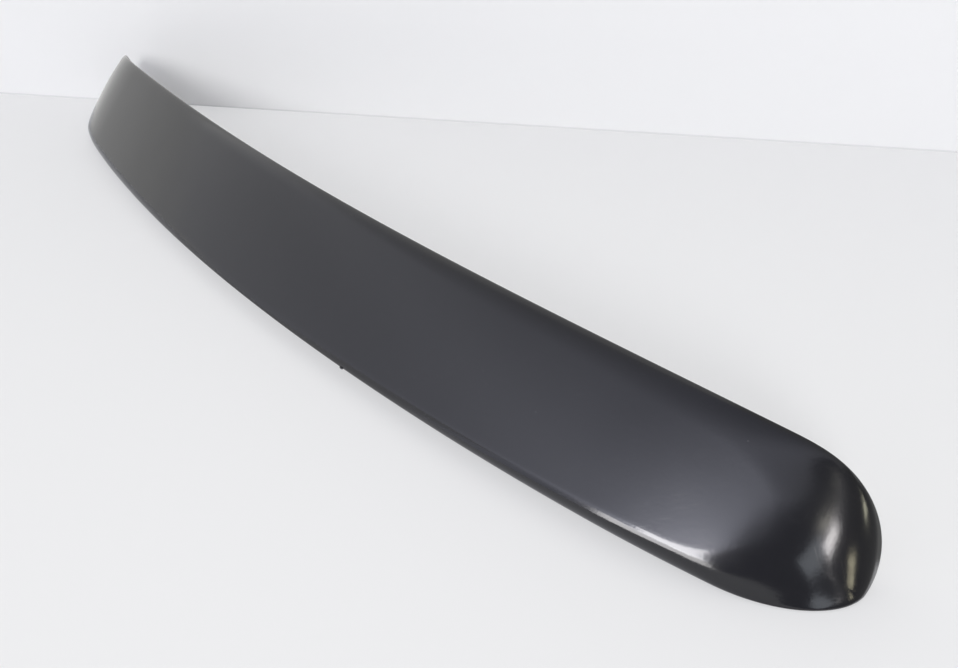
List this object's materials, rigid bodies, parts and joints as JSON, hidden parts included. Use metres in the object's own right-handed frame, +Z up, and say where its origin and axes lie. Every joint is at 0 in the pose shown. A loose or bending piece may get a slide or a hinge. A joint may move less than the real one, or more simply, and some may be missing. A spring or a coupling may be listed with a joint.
{
  "type": "roof spoiler",
  "caption": "Crescent roof spoiler for a car: one hollow moulded shell with rolled edges and ends that curl down, resting on its trailing rim.",
  "frame": {"origin": "middle of the trailing rim's standing band at mid length, on the surface that the shell rests on", "axes": "+X along the length, across the car; +Y from the trailing edge towards the leading edge; +Z up from the surface that it rests on"},
  "size_m": [1.15, 0.1599, 0.1104],
  "materials": {
    "shell": "unpainted black moulded plastic, satin to semi-gloss, with fine scuffs and specks"
  },
  "bodies": {
    "root": {"spoiler_shell": "shell"}
  },
  "joints": []
}
